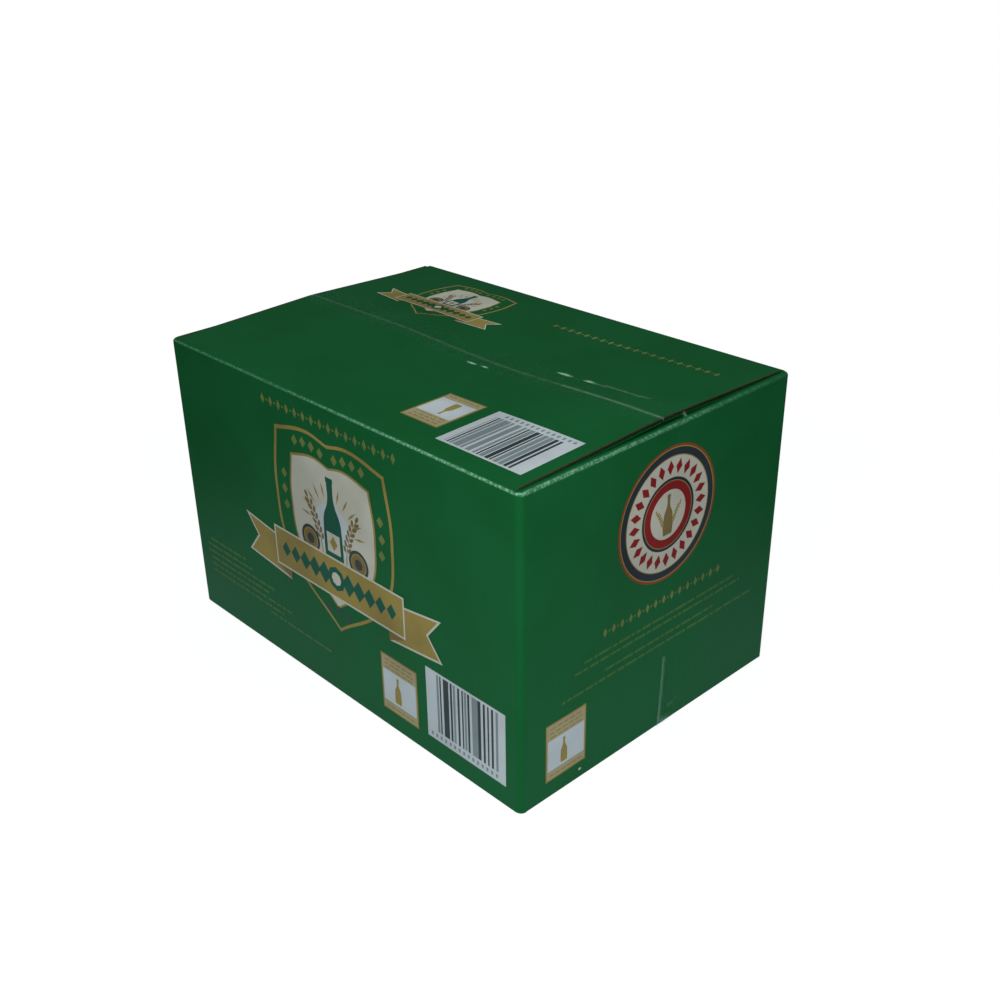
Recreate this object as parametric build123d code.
from build123d import *
import math
import os

# A case of bottles in corrugated board, closed by folding its flaps and sealed with clear tape.
# X runs along the long sides, Y across the case and Z up. The origin is on the surface that
# the case stands on, under its middle.

# Outside size of the closed case, up to the folds at the top of the long sides
case_length = 384.0
case_width = 266.0
case_height = 238.0

# Corrugated board, its creases, the slots cut between its flaps, and the run from an end wall
# over which a short flap sinks under the long ones
board = 3.0
fold_radius = 2.5
corner_radius = 5.0
slot_setback = 5.0
flap_run = 12.0
flap_play = 0.4
seam_gap = 1.0

# Step at the back left corner, where the back wall's cut edge lies over the glued tab
lap_step = 2.6

# Board left standing in each corner, beside the slots, a little below the folds
corner_drop = 0.4
corner_rim = 2.2

# The load makes the lower folds tight, and pushes those of the ends down beside the long flaps
foot_radius = 1.5
foot_height = 0.7
foot_bevel = 0.7

# The top seam rides up over the short flaps at both ends, and sags where they don't reach
seam_lift = 4.2
dip_lift = 0.6
dip_middle = 40.0
dip_reach = 125.0
seam_steps = 24

# Clear tape, film and glue together, a hair's breadth clear of the board
tape_thickness = 0.1
tape_clearance = 0.15
tape_width = 34.0
top_tape_middle = 4.5
top_tape_tail = 10.0
bottom_tape_middle = 13.8
bottom_tape_skew = 2.3
bottom_tail_near = 60.0
bottom_tail_far = 51.0

half_length = case_length / 2
half_width = case_width / 2
flap_end = half_length - slot_setback
fold_line = half_width - board
slot_edge = half_width - slot_setback
whole_length = (-half_length, half_length)
top_fold_start = case_height - fold_radius
foot_fold_start = foot_height + foot_radius
tape_depth = tape_clearance + tape_thickness
short_flap_top = case_height - board - flap_play
short_flap_bottom = tape_depth + board
seam_places = [flap_end * (2 * i / seam_steps - 1) for i in range(seam_steps + 1)]


def box_between(x_range, y_range, z_range):
    """A plain block between two values along each axis."""
    sizes = [high - low for low, high in (x_range, y_range, z_range)]
    middle = [(high + low) / 2 for low, high in (x_range, y_range, z_range)]
    return Pos(*middle) * Box(*sizes)


def wall_outline():
    """The four walls seen from above.

    Three corners are folds. At the back left one, the left wall folds into a glued tab that
    lies under the back wall, whose cut edge shows beside the corner.
    """
    folded = Pos(0, -lap_step / 2) * RectangleRounded(case_length, case_width - lap_step, corner_radius)
    lap = lap_step + corner_radius
    back = Pos(slot_setback / 2, half_width - lap / 2) * Rectangle(case_length - slot_setback, lap)
    back_right = back.vertices().sort_by(lambda v: v.X + v.Y)[-1]
    return folded + fillet(back_right, corner_radius)


def touch_height(inset, drop, radius):
    """How far past the start of a fold a line that grazes it meets the wall's plane.

    The wall ends in a fold of this radius. The line starts inset from the wall's plane, and drop
    beyond the height at which the fold starts.
    """
    reach = math.sqrt(drop**2 - inset * (2 * radius - inset))
    return radius * inset / (drop + reach)


def side_view():
    """Walls, contents and short flaps seen from the front.

    Each short flap leaves its wall in a round fold, level with those of the long flaps, and
    slopes until it lies a board's thickness behind them.
    """
    top = top_fold_start + touch_height(flap_run, short_flap_top - top_fold_start, fold_radius)
    foot = foot_fold_start - touch_height(flap_run, foot_fold_start - short_flap_bottom, foot_radius)
    level = half_length - flap_run
    right = [(level, short_flap_top), (half_length, top), (half_length, foot), (level, short_flap_bottom)]
    left = [(-x, z) for x, z in reversed(right)]
    profile = make_face(Polyline(*right, *left, close=True))
    profile = fillet(profile.vertices().group_by(Axis.Y)[-1], fold_radius)
    return fillet(profile.vertices().group_by(Axis.Y)[0], foot_radius)


def filled_walls():
    """Walls, contents and short flaps. Beyond the folds the flaps lie between their slots."""
    upright = box_between(whole_length, (-half_width, half_width), (foot_fold_start, top_fold_start))
    between_slots = box_between(whole_length, (-slot_edge, slot_edge), (0, case_height))
    walls = extrude(wall_outline(), amount=case_height) & (upright + between_slots)
    return walls & extrude(Plane.XZ * side_view(), amount=case_width, both=True)


def corner_posts():
    """The board beside the slots, which stands between the folds in each corner."""
    height = case_height - corner_drop - foot_height
    walls = extrude(Pos(0, 0, foot_height) * wall_outline(), amount=height)
    walls = fillet(walls.faces().sort_by(Axis.Z)[-1].edges(), corner_rim)
    walls = chamfer(walls.faces().sort_by(Axis.Z)[0].edges(), foot_bevel)
    posts = []
    for x_side in (-1, 1):
        for y_side in (-1, 1):
            x_range = sorted((x_side * flap_end, x_side * half_length))
            y_range = sorted((y_side * slot_edge, y_side * half_width))
            posts.append(walls & box_between(x_range, y_range, (0, case_height)))
    return posts


def long_folds(z_side):
    """The creases of both long flaps, at the top (z_side 1) or the bottom (z_side -1)."""
    depth = 2 * board
    face, radius = (case_height, fold_radius) if z_side > 0 else (tape_depth, foot_radius)
    section = Plane.YZ * Pos(0, face - z_side * depth / 2) * Rectangle(case_width, depth)
    outer = section.vertices().group_by(Axis.Z)[-1 if z_side > 0 else 0]
    bar = extrude(fillet(outer, radius), amount=flap_end, both=True)
    if z_side < 0:
        slot = box_between(whole_length, (-seam_gap / 2, seam_gap / 2), (0, short_flap_bottom))
        return bar - slot
    inner = box_between(whole_length, (-fold_line, fold_line), (0, case_height))
    return bar - inner


def seam_rise(x):
    """How far the top seam stands over the folds: level at the ends, with one smooth sag."""
    away = min(abs(x - dip_middle) / dip_reach, 1)
    return dip_lift + (seam_lift - dip_lift) * (1 - math.cos(math.pi * away)) / 2


def seam_share(y):
    """How much of the seam's rise reaches this far across a flap, which is straight."""
    return (fold_line - abs(y)) / (fold_line - seam_gap / 2)


def flap_height(x, y):
    """Height of the top flaps' printed face."""
    return case_height + seam_share(y) * seam_rise(x)


def flap_line(y, height):
    """A curve along the case at one Y, at a height over the printed face of its top flap."""
    return Spline([(x, y, flap_height(x, y) + height) for x in seam_places])


def top_flap(y_side):
    """One long flap of the top, from its fold to the seam, ruled straight along its flutes."""
    sections = []
    for y in (y_side * fold_line, y_side * seam_gap / 2):
        under = flap_line(y, -board)
        over = flap_line(y, 0)
        ends = [Line(under @ t, over @ t) for t in (0, 1)]
        sections.append(make_face([under, over, *ends]))
    return loft(sections, ruled=True)


def carton():
    """The folded case as one solid: it is sealed, so it is filled."""
    case = filled_walls() + corner_posts()
    for z_side in (-1, 1):
        case += long_folds(z_side)
    for y_side in (-1, 1):
        case += top_flap(y_side)
    return case


def film_between(near_edge, far_edge):
    """Tape between its two long edges, each given as its glue side and its outer side."""
    sections = []
    for glue_side, outer_side in (near_edge, far_edge):
        sections.append(make_face(Polyline(*glue_side, *reversed(outer_side), close=True)))
    return loft(sections, ruled=True)


def top_tape():
    """Tape over the top seam, pulled down over both ends. It is bent along the seam."""
    near = top_tape_middle - tape_width / 2
    far = top_tape_middle + tape_width / 2
    drop = flap_height(flap_end, max(-near, far)) - top_fold_start
    touch = top_fold_start + touch_height(slot_setback, drop, fold_radius)
    tail = case_height - top_tape_tail

    def side(y, wall, lift):
        """A line along the whole tape at one Y, on its glue side or its outer side."""
        laid = [(x, y, flap_height(x, y) + lift) for x in seam_places]
        left = [(-wall, y, tail), (-wall, y, touch)]
        right = [(wall, y, touch), (wall, y, tail)]
        return [*left, *laid, *right]

    edges = []
    for y in (near, 0, far):
        glue_side = side(y, half_length + tape_clearance, tape_clearance)
        outer_side = side(y, half_length + tape_depth, tape_depth)
        edges.append((glue_side, outer_side))
    return film_between(edges[0], edges[1]) + film_between(edges[1], edges[2])


def bottom_tape():
    """Tape under the bottom seam, laid a little askew and turned up both ends."""
    slope = math.tan(math.radians(bottom_tape_skew))
    touch = foot_fold_start - touch_height(slot_setback, foot_fold_start - tape_depth, foot_radius)

    def side(x_side, y, wall, base, tail):
        """A line from the middle of the tape up one end. Each edge of a half lies in a plane."""
        path = [(0, base), (flap_end, base), (wall, touch), (wall, tail)]
        return [(x_side * x, y + x_side * slope * (x + z), z) for x, z in path]

    halves = []
    for x_side in (-1, 1):
        edges = []
        for y_side, tail in ((-1, bottom_tail_near), (1, bottom_tail_far)):
            y = bottom_tape_middle + y_side * tape_width / 2
            glue_side = side(x_side, y, half_length + tape_clearance, tape_thickness, tail)
            outer_side = side(x_side, y, half_length + tape_depth, 0, tail)
            edges.append((glue_side, outer_side))
        halves.append(film_between(*edges))
    return halves[0] + halves[1]


nodes = {
    "carton": carton(),
    "top_tape": top_tape(),
    "bottom_tape": bottom_tape(),
}

os.makedirs("parts", exist_ok=True)
for name, shape in nodes.items():
    export_step(shape, f"parts/{name}.step")
    print(name, len(shape.solids()), round(shape.volume), shape.is_valid)
